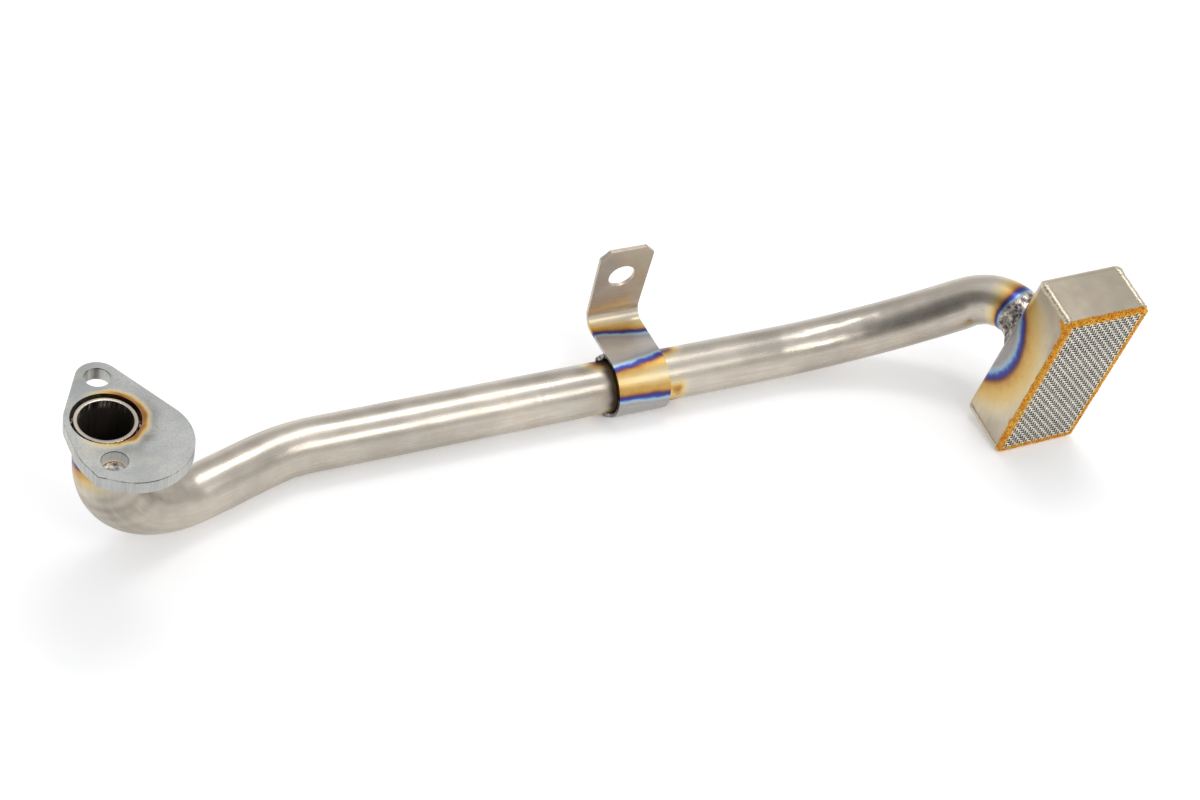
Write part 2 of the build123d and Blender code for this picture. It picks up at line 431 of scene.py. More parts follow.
# The tube
def bent_route(corners, bends, step):
    """Points, directions and lengths along straights joined by tangent round bends."""
    corners = [np.asarray(c, float) for c in corners]
    points, ways = [], []
    start = corners[0]
    for before, corner, after, bend in zip(corners, corners[1:], corners[2:], bends):
        back, ahead = unit(before - corner), unit(after - corner)
        half_turn = (math.pi - math.acos(back @ ahead)) / 2
        reach = bend * math.tan(half_turn)
        enter = corner + back * reach
        count = max(2, round(np.linalg.norm(enter - start) / step))
        for k in range(count):
            points.append(start + (enter - start) * k / count)
            ways.append(-back)
        middle = corner + unit(back + ahead) * bend / math.cos(half_turn)
        first = unit(enter - middle)
        count = max(2, round(2 * half_turn * bend / step))
        for turn in 2 * half_turn * np.arange(count) / count:
            points.append(middle + bend * (math.cos(turn) * first - math.sin(turn) * back))
            ways.append(-math.sin(turn) * first - math.cos(turn) * back)
        start = corner + ahead * reach
    count = round(np.linalg.norm(corners[-1] - start) / step)
    for k in range(count + 1):
        points.append(start + (corners[-1] - start) * k / count)
        ways.append(unit(corners[-1] - start))
    points = np.array(points)
    return points, np.array(ways), run_lengths(points)


def steady_sides(ways, first):
    """A side direction along a route that never twists."""
    first = np.asarray(first, float)
    sides = [unit(first - ways[0] * (first @ ways[0]))]
    for way in ways[1:]:
        sides.append(unit(sides[-1] - way * (sides[-1] @ way)))
    return np.array(sides)


def tube_wear(route, ways, lengths, radial, flattening):
    """How far the tube's skin is sunk by its bends, its dents and its melted end."""
    surface = route[:, None] + TUBE_RADIUS * radial
    bending = np.gradient(ways, axis=0) / np.gradient(lengths)[:, None]
    kernel = np.hanning(15)
    smooth = np.stack([np.convolve(line, kernel / kernel.sum(), "same") for line in bending.T], axis=1)
    toward = np.einsum("nk,nck->nc", smooth, radial)
    sunk = SKIN_BELOW + 0.014 * (rough(surface, 12.0, 1) + 1)
    flats = 7.0 * np.abs(toward)
    wrinkles = 1.2 * np.maximum(toward, 0) * (1 + np.sin(lengths * 0.9))[:, None]
    sunk = sunk + (flats + wrinkles) * flattening

    to_box = (lengths[-1] - ENTRY_DEPTH - lengths)[:, None]
    lumps = 0.5 + 0.5 * rough(surface, 2.3, 17) + 0.3 * rough(surface, 1.1, 18)
    sunk = sunk + 0.42 * np.clip(np.clip((MELTED_FOR - to_box) / 2, 0, 1) * lumps, 0, 1.2)

    def dent(along_run, way, along, around, depth):
        """A shallow dent in the skin that faces a way, at a place along the run."""
        k = int(np.argmin(np.linalg.norm(route - np.add(KNEE, RUN * along_run), axis=1)))
        off = unit(way - ways[k] * (way @ ways[k]))
        turn = np.arccos(np.clip(radial @ off, -1, 1)) * TUBE_RADIUS
        return depth * bump((lengths - lengths[k])[:, None], along) * bump(turn, around)

    inner_knee = np.array([0.25, -0.85, -0.35])
    sunk = sunk + dent(0, inner_knee, 1.6, 6.0, 0.35) + dent(5, inner_knee, 1.2, 4.0, 0.2)
    front = np.array([0.0, -0.7, 0.7])
    for place, lean, along, around, depth in (
        (197, 0.5, 2.2, 1.5, 0.10),
        (204, 0.1, 4.0, 1.2, 0.07),
        (213, 0.6, 2.0, 1.7, 0.12),
        (221, 0.2, 3.0, 1.4, 0.08),
        (232, 0.4, 2.2, 1.5, 0.10),
    ):
        sunk = sunk + dent(place, front + (0, lean, lean), along, around, depth)
    for place in (49, 51.5, 88, 91):
        sunk = sunk + dent(place, front, 0.7, 3.5, 0.07)
    return np.clip(sunk, 0.0, DEEPEST_WEAR)


def from_bead(local, bead):
    """How far places by the strap lie from one of its straight beads, in millimetres."""
    past = np.maximum(np.abs(local[..., 2]) - STRAP_WIDTH / 2 - 2, 0)
    return np.sqrt(past ** 2 + (local[..., 0] - bead[0]) ** 2 + (local[..., 1] - bead[1]) ** 2)


def tube_tints(points, along, whole, front):
    """Heat on the tube's skin from the welds of the box, the plate and the strap, and its darkening: a burn
    by the strap that is partly painted shadow and reflection, and a tan below the flange.
    """
    from_box = whole - ENTRY_DEPTH - along + rough(points, 14, 4)
    from_plate = along - (PLATE_THICKNESS - PLATE_ABOVE_END) + 1.5 * rough(points, 9, 5)
    local = STRAP.into(points)
    past_edge = np.abs(local[..., 2]) - STRAP_WIDTH / 2
    by_strap = np.abs(local[..., :2]).max(axis=-1) < 14
    heat = heat_at(from_box, TUBE_BLUE_BY_BOX, TUBE_TAIL_BY_BOX)
    heat = np.maximum(heat, heat_at(from_plate + 2 * front, TUBE_BLUE_BY_PLATE, TUBE_TAIL_BY_PLATE))
    straps = np.where(by_strap, 0.50 * bump(np.maximum(past_edge, 0), 1.1), 0)
    for bead in (CROWN_BEAD, TOE_BEAD):
        straps = np.maximum(straps, heat_at(from_bead(local, bead), TUBE_BLUE_BY_STRAP, TUBE_TAIL_BY_STRAP))
    heat = np.maximum(heat, np.minimum(straps, 0.57))
    spot = STRAP.out((-9.0, 1.0, STRAP_WIDTH / 2 + 3.2))
    from_spot = np.linalg.norm(points - spot, axis=-1) + 1.8 * rough(points, 3.0, 7)
    heat = np.maximum(heat, 0.50 * bump(np.maximum(from_spot, 0), 4.8))
    # Beside the strap's left edge the tube darkens: partly a burn, partly a painted shadow and reflection of
    # the strap.
    left_of_strap = -local[..., 2] - STRAP_WIDTH / 2 + 0.7 * rough(points, 3.0, 19)
    burn_and_strap_shadow = bump(np.maximum(left_of_strap - 1.3, 0), 2.6) * np.clip(left_of_strap + 1.5, 0, 1)
    tanned = 0.24 * bump(from_plate - 30, 18) * (1 + 0.9 * rough(points * (0.2, 1, 1), 3.5, 16))
    return heat, np.where(by_strap, 0.94 * burn_and_strap_shadow, 0) + tanned


def make_tube(sizes):
    """The bent tube: its worn skin, its two ends and its bore, as rings of points."""
    end = np.add(ENTRY, -BACK.z * ENTRY_DEPTH)
    corners = [TUBE_END, ELBOW, KNEE, RISE, HOOK, end]
    route, ways, lengths = bent_route(corners, BENDS, sizes.tube_step)
    sides = steady_sides(ways, (1, 0, 0))
    columns = sizes.tube_sides
    radial = spokes(sides, np.cross(ways, sides), columns)
    radii = TUBE_RADIUS - tube_wear(route, ways, lengths, radial, sizes.flattening)
    turned = ((lengths[-1] - lengths) < ENTRY_DEPTH + 0.5) | (lengths < 1.0)
    radii[turned] = TUBE_RADIUS - SKIN_BELOW

    def unrolled(along, radius):
        turns = full_turn(columns)
        return np.stack(np.broadcast_arrays(along, radius * np.cos(turns), radius * np.sin(turns)), axis=-1)

    rows = [route[:, None] + radii[..., None] * radial]
    flat_rows = [unrolled(lengths[:, None], TUBE_RADIUS)]
    # How dark each ring is painted: painted shade inside the bore, lighter at its mouth.
    bore = [0.0] * len(route)

    def ring(index, radius, along, black=0.0):
        rows.append((route[index] + ways[index] * along + radius * radial[index])[None])
        flat_rows.append(unrolled(lengths[index] + along, radius)[None])
        bore.append(black)

    for radius in (TUBE_RADIUS - 0.12, TUBE_RADIUS - 0.3, BORE_RADIUS + 0.2):
        ring(-1, radius, 0.0)
    ring(len(route) - 1, BORE_RADIUS, -0.15, 1.0)
    for index in range(len(route) - 5, -1, -4):
        ring(index, BORE_RADIUS, 0.0, 1.0)
    ring(0, BORE_RADIUS, 0.25, 0.4)
    ring(0, BORE_RADIUS + 0.07, 0.07)
    ring(0, BORE_RADIUS + 0.25, 0.0)
    ring(0, TUBE_RADIUS - 0.35 * (TUBE_RADIUS - BORE_RADIUS), 0.0)
    ring(0, TUBE_RADIUS - 0.14, 0.02)
    points, straight = np.concatenate(rows), np.concatenate(flat_rows)

    skin = np.zeros((len(points), 1))
    skin[: len(route)] = 1
    front = np.zeros(points.shape[:2])
    front[: len(route)] = np.clip(-radial[..., 1], 0, 1)
    heat, soot_and_shade = tube_tints(points, straight[..., 0], lengths[-1], front)
    # The bore's rings get painted shade on top of the skin's stains.
    soot_and_shade = soot_and_shade * skin + 0.75 * np.array(bore)[:, None]
    faces = grid_faces(len(points), columns, close_rows=True)
    return make_piece(
        "pickup_tube_drawn", points, faces, ["pickup_tube"], straight, heat * skin, soot_and_shade
    )


# The flange plate
def make_plate(sizes):
    """The flange: an outline of four rounds and their tangents, with a bore and two bolt holes."""
    rounds = [circle(*FAR_EAR, 400), circle(*HUB, 400), circle(*LOBE, 600), circle(*SHARP_CORNER, 60)]
    outline = even_outline(hull(np.concatenate(rounds)), sizes.sheet_step)
    holes = [circle(0, 0, PLATE_BORE, 120)]
    for side in (-1, 1):
        holes.append(circle(side * BOLT_SPACING / 2, 0, BOLT_RADIUS, 64))

    def shape(plan, height):
        """Lays the plate down, with both its faces worn a little."""
        worn = np.abs(0.05 * rough(np.column_stack([plan, np.full(len(plan), height * 3)]), 6.0, 8))
        flat = height - PLATE_THICKNESS / 2 - (worn if height > 0 else -worn)
        return PLATE.out(np.column_stack([plan, flat]))

    points, faces, straight = thick_sheet(outline, holes, sizes.sheet_step, PLATE_THICKNESS, shape, layers=5)
    away = np.hypot(straight[:, 0], straight[:, 1]) - PLATE_BORE + 1.1 * rough(straight, 4.2, 9)
    side = np.arctan2(straight[:, 1], straight[:, 0])
    reach = 1.25 + 0.55 * np.cos(side - math.radians(70))
    shown = np.clip(0.72 - 0.75 * np.cos(side + math.radians(95)), 0.08, 1)
    heat = 0.52 * bump(np.maximum(away - 0.4, 0), reach) * shown
    heat = heat + 0.16 * np.clip(rough(straight, 8.0, 14), 0, 1)
    below = straight[:, 2] < 0.3 - PLATE_THICKNESS / 2
    heat = np.where(below, np.maximum(heat, 0.85 - away / 14), heat)
    smoked = bump(away - 3.6, 2.2) * np.clip(np.cos(side - math.radians(60)), 0, 1)
    soot_and_shade = 0.42 * smoked * (0.7 + 0.6 * rough(straight, 5.0, 15))
    nodes = ["flange_plate"]
    plate = make_piece("flange_plate_cut", points, faces, nodes, straight, heat, soot_and_shade)
    soften_edges(plate, 0.16)
    return plate


# The strap
def strap_shape(plan, height):
    """Bends flat strip round the tube: plan x runs along the strip, plan y across it."""
    along, across = plan[:, 0], plan[:, 1]
    wrap = np.clip(-along, 0, None) / STRAP_MIDDLE
    radius = STRAP_MIDDLE + height
    x = np.where(along < 0, -radius * np.sin(wrap), np.clip(along, 0, STRAP_FLAT))
    y = np.where(along < 0, radius * np.cos(wrap), radius)
    turn = np.clip((along - STRAP_FLAT) / STRAP_BEND, 0, STRAP_TURN)
    tight = STRAP_BEND - height
    past = np.clip(along - STRAP_FLAT - STRAP_BEND * STRAP_TURN, 0, None)
    bent = along > STRAP_FLAT
    lean = STRAP_TURN - math.pi / 2
    x = np.where(bent, STRAP_FLAT + tight * np.sin(turn) - past * math.sin(lean), x)
    y = np.where(bent, STRAP_MIDDLE + STRAP_BEND - tight * np.cos(turn) + past * math.cos(lean), y)
    return STRAP.out(np.column_stack([x, y, across]))


def make_strap(sizes):
    """The support strap: cut flat with its hole and clipped corners, then bent."""
    toe = -STRAP_MIDDLE * STRAP_WRAP
    tab = STRAP_FLAT + STRAP_BEND * STRAP_TURN
    top = tab + STRAP_TAB - TAB_SHORTER
    half = STRAP_WIDTH / 2
    corners = np.array(
        [
            (toe, -half),
            (top - TAB_CLIP, -half),
            (top, -half + TAB_CLIP),
            (top, half + TAB_FLARE - TAB_CLIP),
            (top - TAB_CLIP, half + TAB_FLARE),
            (tab + 3.0, half),
            (toe + TOE_CLIP, half),
            (toe, half - TOE_CLIP),
        ]
    )
    outline = even_outline(corners, sizes.sheet_step)
    ragged = rough(np.column_stack([outline, np.zeros(len(outline))]), 2.5, 11)
    outline = outline - unit(outline - [(toe + top) / 2, 0]) * (0.06 * (ragged + 1))[:, None]
    holes = [circle(tab + STRAP_HOLE_UP, 0, STRAP_HOLE, 72)]
    points, faces, straight = thick_sheet(outline, holes, sizes.sheet_step, STRAP_THICKNESS, strap_shape)
    along, across = straight[:, 0], straight[:, 1]
    wobble = 0.5 * rough(straight, 5.0, 12) + 0.2 * rough(straight, 1.6, 13)
    crown = heat_at(np.abs(along - 5.9 + wobble), CROWN_BLUE - 0.17 * across, CROWN_TAIL)
    foot = heat_at(np.abs(along + 29.5 + 0.06 * across + wobble), FOOT_BLUE, FOOT_TAIL)
    heat = np.maximum(crown, foot)
    strap = make_piece("support_strap_bent", points, faces, ["support_strap"], straight, heat)
    soften_edges(strap, 0.18)
    return strap


# Welds
def ripple(along, pitch):
    """The overlapping scales of a weld bead: a quick rise and a slow fall."""
    return np.sin(np.pi * ((along / pitch) % 1.0) ** 0.6)


def make_ring_weld(name, node, axes, leg, rise, lump, seed, sizes):
    """A lumpy bead in the corner between the tube and a face."""
    columns = 18
    rows = int(2 * math.pi * (TUBE_RADIUS + leg) / 0.28)
    turn = full_turn(rows)[:, None]
    lift = np.linspace(-0.12, math.pi / 2 + 0.12, columns - 2)[None]
    fullness = 1.35
    bulge = (np.abs(np.cos(lift)) ** fullness + np.abs(np.sin(lift)) ** fullness) ** (-1 / fullness)
    around = turn * (TUBE_RADIUS + leg / 2) + 0.5 * np.sin(lift * 2)
    scale = 1 + sizes.ripple_height * (ripple(around, sizes.ripple_pitch) - 0.5)
    lumps = np.stack([np.cos(turn) * 12, np.sin(turn) * 12, 0 * turn], axis=-1) + 0 * lift[..., None]
    scale = scale * (1 + lump * rough(lumps, 3.6, seed))
    reach = bulge * np.clip(scale, 0.6, 1.25)
    out = TUBE_RADIUS - 0.15 + leg * reach * np.cos(lift)
    up = -0.12 + rise * reach * np.sin(lift)
    out = np.hstack([out, np.full((rows, 2), TUBE_RADIUS - 0.4)])
    up = np.hstack([up, np.tile((leg * 0.4, -0.25), (rows, 1))])
    local = np.stack([out * np.cos(turn), out * np.sin(turn), up], axis=-1)
    local[:, :-2] += 0.08 * rough(local[:, :-2], 1.2, seed + 1)[..., None]
    heat = 0.84 + 0.12 * rough(local, 4.0, seed + 2)
    faces = grid_faces(rows, columns, close_rows=True)
    return make_piece(name, axes.out(local), faces, [node], local, heat)


def make_bead(name, node, line, radius_at, seed, sizes, heat, ripple_share=1.0, sides=20):
    """A round-ended bead of weld along a line of points."""
    line = np.asarray(line, float)
    ways = unit(np.gradient(line, axis=0))
    lengths = run_lengths(line)
    side = steady_sides(ways, np.cross(ways[0], unit([0.3, 0.5, 0.81])))
    radii = radius_at(lengths)
    to_end = np.minimum(lengths, lengths[-1] - lengths)
    cap = np.sqrt(np.clip(1 - (1 - np.clip(to_end / radii.mean(), 0, 1)) ** 2, 0.0004, 1))
    scale = 1 + ripple_share * sizes.ripple_height * (ripple(lengths, sizes.ripple_pitch) - 0.8)
    radial = spokes(side, np.cross(ways, side), sides)
    grid = line[:, None] + (radii * cap * scale)[:, None, None] * radial
    grid = grid + radial * (0.03 * rough(grid, 1.3, seed))[..., None] * cap[:, None, None]
    rows = len(line)
    faces = grid_faces(rows, sides)
    faces.append(tuple(range(sides)))
    faces.append(tuple(reversed(range((rows - 1) * sides, rows * sides))))
    warm = heat + 0.12 * rough(grid, 3.0, seed + 3)
    return make_piece(name, grid, faces, [node], grid, warm)


def strap_bead_radius(along):
    return 1.34 - 0.35 * bump(along, 1.8) + 0.05 * np.sin(along * 1.7)


def make_strap_welds(sizes):
    """Two beads along the strap's edges, running out past its sides."""
    beads = []
    left, right = -STRAP_WIDTH / 2 - 3.3, STRAP_WIDTH / 2 + 0.8
    for name, node, (x, y), seed in (
        ("strap_toe_bead", "strap_toe_weld", TOE_BEAD, 31),
        ("strap_crown_bead", "strap_crown_weld", CROWN_BEAD, 33),
    ):
        along = np.linspace(left, right, 110)
        wander = 0.12 * np.sin(along * 0.9 + seed)
        sink = 1 - 0.075 * bump(along - left, 2.2)
        line = STRAP.out(np.column_stack([(x + wander) * sink, y * sink, along]))
        beads.append(make_bead(name, node, line, strap_bead_radius, seed, sizes, heat=0.82))
    return beads


def make_corner_seams(sizes):
    """The seams that close the box's four corners, each with an ear where it starts."""
    seams = []
    for number, (x, y) in enumerate([(-1, -1), (-1, 1), (1, -1), (1, 1)], start=1):
        back = -BOX_FOOT_DEEPER * (0.5 - x / 2)
        depth = np.linspace(back + 1.7, BOX_DEPTH - 0.5, 90)
        inset = 1.10 + 0.45 * bump(depth - back - 1.2, 1.3)
        wander = 0.04 * np.sin(depth * 1.3 + number)
        along = x * (BOX_LENGTH / 2 - inset) + wander
        across = y * (BOX_WIDTH / 2 - inset) - wander
        line = BOX.out(np.column_stack([along, across, depth]))

        def radius_at(s):
            return 1.52 + 0.22 * bump(s - 2.2, 1.7) + 0.04 * np.sin(s * 1.3 + number)

        name, node = f"box_corner_seam_{number}", f"box_corner_weld_{number}"
        seams.append(make_bead(name, node, line, radius_at, 40 + number, sizes, 0.16, ripple_share=0.35))
    return seams


# The screen and its braze
def make_screen(sizes):
    """Plain woven wire cloth: every wire goes over one crossing and under the next."""
    reach = np.array([BOX_LENGTH, BOX_WIDTH]) / 2 - SCREEN_INSET
    height = BOX_DEPTH + SCREEN_ABOVE
    radius = sizes.wire / 2
    sides = 6
    lean = sizes.mesh_angle
    long_way = np.array([math.cos(lean), math.sin(lean)])
    cross_way = np.array([-math.sin(lean), math.cos(lean)])
    points, faces = [], []

    def lay_wires(way, off_way, pitch, crossing_pitch, parity, seed):
        """Every wire that runs one way, a pitch apart."""
        count = int(np.abs(off_way) @ reach / pitch)
        for k in range(-count, count + 1):
            place = off_way * pitch * k
            with np.errstate(divide="ignore", invalid="ignore"):
                ends = np.stack([(-reach - place) / way, (reach - place) / way])
            low, high = np.min(ends, axis=0).max(), np.max(ends, axis=0).min()
            if high - low < pitch or not np.all(np.abs(place + way * (low + high) / 2) <= reach):
                continue
            t = np.linspace(low, high, max(3, int((high - low) / crossing_pitch * 6)))
            flat = place + way * t[:, None]
            spot = np.column_stack([flat, np.full(len(t), seed)])
            flat = flat + off_way * (0.05 * rough(spot, 9.0, 3))[:, None]
            sag = 0.10 * rough(np.column_stack([flat, 0 * t]), 16.0, 6)
            swing = radius * 1.02 * np.cos(math.pi * (t / crossing_pitch + k + parity))
            centre = np.column_stack([flat, height + sag + swing])
            side = np.tile((*off_way, 0.0), (len(t), 1))
            up = unit(np.cross(unit(np.gradient(centre, axis=0)), side))
            start = sum(len(p) for p in points)
            points.append((centre[:, None] + radius * spokes(side, up, sides)).reshape(-1, 3))
            faces.extend(tuple(start + i for i in face) for face in grid_faces(len(t), sides))

    lay_wires(long_way, cross_way, sizes.pitch_across, sizes.pitch_along, 0, 0)
    lay_wires(cross_way, long_way, sizes.pitch_along, sizes.pitch_across, 1, 40)
    points = np.concatenate(points)
    to_rim = (reach - np.abs(points[:, :2])).min(axis=1)
    heat = 0.32 * np.exp(-np.maximum(to_rim, 0) / 2.2)
    return make_piece("screen_woven", BOX.out(points), faces, ["screen"], points, heat)


def round_rim(half_length, half_width, corner, step):
    """Points and outward directions all round a rectangle with round corners."""
    base, normals = [], []
    quarters = [(1, 1), (-1, 1), (-1, -1), (1, -1)]
    for number, (x, y) in enumerate(quarters):
        middle = np.array([x * (half_length - corner), y * (half_width - corner)])
        for turn in np.radians(90 * number + np.linspace(0, 90, 11)):
            normal = np.array([math.cos(turn), math.sin(turn)])
            base.append(middle + corner * normal)
            normals.append(normal)
        x, y = quarters[(number + 1) % 4]
        first = base[-1]
        last = np.array([x * (half_length - corner), y * (half_width - corner)]) + corner * normal
        count = int(np.linalg.norm(last - first) / step)
        for k in range(1, count):
            base.append(first + (last - first) * k / count)
            normals.append(normal)
    return np.array(base), np.array(normals)


# A cut through the braze, as places out from the box's outer face and up from its mouth
BRAZE_SECTION = (
    (-0.05, -0.95), (0.22, -0.85), (0.42, -0.45), (0.48, 0.1), (0.42, 0.65),
    (0.2, 1.1), (-0.2, 1.38), (-0.7, 1.45), (-1.15, 1.36), (-1.5, 1.1),
    (-1.72, 0.75), (-1.78, 0.4), (-1.4, 0.05), (-0.7, 0.0), (-0.15, -0.3),
)


def make_braze():
    """The brass-coloured braze round the mouth, grainy, with a lip and a few runs."""
    half_width = BOX_WIDTH / 2
    base, normals = round_rim(BOX_LENGTH / 2, half_width, BRAZE_CORNER, BRAZE_STEP)
    rows, columns = len(base), 30
    section = np.array(BRAZE_SECTION + BRAZE_SECTION[:1])
    at = run_lengths(section)
    fine = np.linspace(0, at[-1], columns, endpoint=False)
    out, up = (np.interp(fine, at, values) for values in section.T)
    wave = rough(np.column_stack([base, np.zeros(rows)]), 3.2, 51)
    spill = 3.6 * bump(np.hypot(base[:, 0] - 33.2, base[:, 1] - half_width), 1.9)
    spill += 0.9 * bump(np.hypot(base[:, 0] + 20.0, base[:, 1] - half_width), 1.2)
    spill += 0.35 * np.clip(wave, 0, 1)
    lip = np.clip(-up / 0.95, 0, 1) * (out > -0.1)
    inner = np.clip((-out - 0.9) / 0.9, 0, 1)
    offset = out[None] - inner[None] * (0.25 * (wave[:, None] + 0.3))
    local = np.empty((rows, columns, 3))
    local[..., :2] = base[:, None] + normals[:, None] * offset[..., None]
    local[..., 2] = BOX_DEPTH + up[None] - lip[None] * spill[:, None]
    grain = 0.20 * rough(local, 0.95, 52) + 0.08 * rough(local, 0.45, 53) - 0.12
    skin = unit(np.stack([np.gradient(up), -np.gradient(out)], axis=1))
    local[..., :2] += normals[:, None] * (grain * skin[None, :, 0])[..., None]
    local[..., 2] += grain * skin[None, :, 1]
    points = BOX.out(local)
    points[..., 2] = np.maximum(points[..., 2], 0.03)
    heat = 0.5 + 0.5 * rough(local, 6.0, 54)
    faces = grid_faces(rows, columns, close_rows=True)
    return make_piece("screen_braze_bead", points, faces, ["screen_braze"], local, heat)


# Materials: noise scales are lumps to a metre
class Graph:
    """Adds and joins the shader nodes of one material or world."""

    def __init__(self, owner):
        owner.use_nodes = True
        self.owner = owner
        self.tree = owner.node_tree
        self.tree.nodes.clear()

    def add(self, kind, settings=None, **inputs):
        """A node with its settings; an input called i3 goes to socket 3, others go by name."""
        node = self.tree.nodes.new("ShaderNode" + kind)
        for key, value in (settings or {}).items():
            setattr(node, key, value)
        for key, value in inputs.items():
            socket = node.inputs[int(key[1:]) if key[1:].isdigit() else key.replace("_", " ")]
            if isinstance(value, bpy.types.NodeSocket):
                self.tree.links.new(value, socket)
            elif socket.type == "RGBA":
                socket.default_value = (*value, 1.0)
            else:
                socket.default_value = value
        return node

    def math(self, operation, a, b=0.0, c=0.0, clamp=False):
        return self.add("Math", {"operation": operation, "use_clamp": clamp}, i0=a, i1=b, i2=c).outputs[0]

    def plus(self, a, b):
        return self.math("ADD", a, b)

    def times(self, a, b):
        return self.math("MULTIPLY", a, b)

    def range(self, value, low, high, to_low=0.0, to_high=1.0, smooth=False):
        settings = {"interpolation_type": "SMOOTHSTEP" if smooth else "LINEAR", "clamp": True}
        return self.add("MapRange", settings, i0=value, i1=low, i2=high, i3=to_low, i4=to_high).outputs[0]

    def spread(self, value, to_low=0.0, to_high=1.0):
        """The middle of a noise, stretched from one value to the other."""
        return self.range(value, 0.3, 0.7, to_low, to_high)

    def dot(self, vector, way):
        settings = {"operation": "DOT_PRODUCT"}
        return self.add("VectorMath", settings, i0=vector, i1=tuple(way)).outputs["Value"]

    def noise(self, vector, scale, detail=2.0, roughness=0.5):
        node = self.add("TexNoise", Vector=vector, Scale=scale, Detail=detail, Roughness=roughness)
        return node.outputs["Fac"]

    def mix(self, factor, a, b):
        settings = {"data_type": "RGBA", "blend_type": "MIX", "clamp_factor": True}
        return self.add("Mix", settings, i0=factor, i6=a, i7=b).outputs[2]

    def ramp(self, value, stops):
        node = self.add("ValToRGB", Fac=value)
        elements = node.color_ramp.elements
        while len(elements) > 1:
            elements.remove(elements[-1])
        elements[0].position = stops[0][0]
        elements[0].color = (*stops[0][1], 1.0)
        for position, colour in stops[1:]:
            elements.new(position).color = (*colour, 1.0)
        return node.outputs[0]

    def attribute(self, name, kind="Fac"):
        return self.add("Attribute", {"attribute_type": "GEOMETRY", "attribute_name": name}).outputs[kind]

    def metal(self, colour, roughness, height, strength, distance, metallic=1.0, glow=0.0):
        normal = self.add("Bump", Strength=strength, Distance=distance, Height=height).outputs[0]
        shader = self.add(
            "BsdfPrincipled", Base_Color=colour, Metallic=metallic, Roughness=roughness, Normal=normal,
            Emission_Color=(1.0, 1.0, 1.0), Emission_Strength=glow,
        )
        self.add("OutputMaterial", Surface=shader.outputs[0])
        return self.owner


def screen_stops(*stops):
    """Stops of a ramp, each given as its position and its red, green and blue on a screen."""
    return tuple((position, linear(*colour)) for position, *colour in stops)


TEMPER = screen_stops(
    (0.00, 216, 210, 196),
    (0.14, 230, 218, 186),
    (0.27, 228, 206, 146),
    (0.40, 216, 178, 102),
    (0.48, 186, 140, 72),
    (0.54, 144, 92, 54),
    (0.575, 104, 58, 86),
    (0.605, 58, 46, 116),
    (0.662, 54, 66, 146),
    (0.69, 94, 130, 198),
    (0.715, 146, 184, 202),
    (0.745, 172, 178, 182),
    (0.80, 158, 155, 157),
    (1.00, 196, 190, 182),
)
MELTED = screen_stops(
    (0.0, 48, 44, 46), (0.3, 104, 98, 100), (0.6, 164, 158, 152), (0.8, 206, 192, 170), (1.0, 232, 226, 220)
)
BRASS = screen_stops(
    (0.0, 206, 116, 60), (0.25, 240, 144, 44), (0.5, 250, 176, 48), (0.75, 255, 214, 92), (1.0, 232, 158, 118)
)


def on_straight(graph):
    return graph.attribute("straight", "Vector")


def on_object(graph):
    return graph.add("TexCoord").outputs["Object"]


def stored_heat(graph, where):
    """The heat that the mesh carries at each point, which is the same wherever it is read."""
    return graph.attribute("warmth")


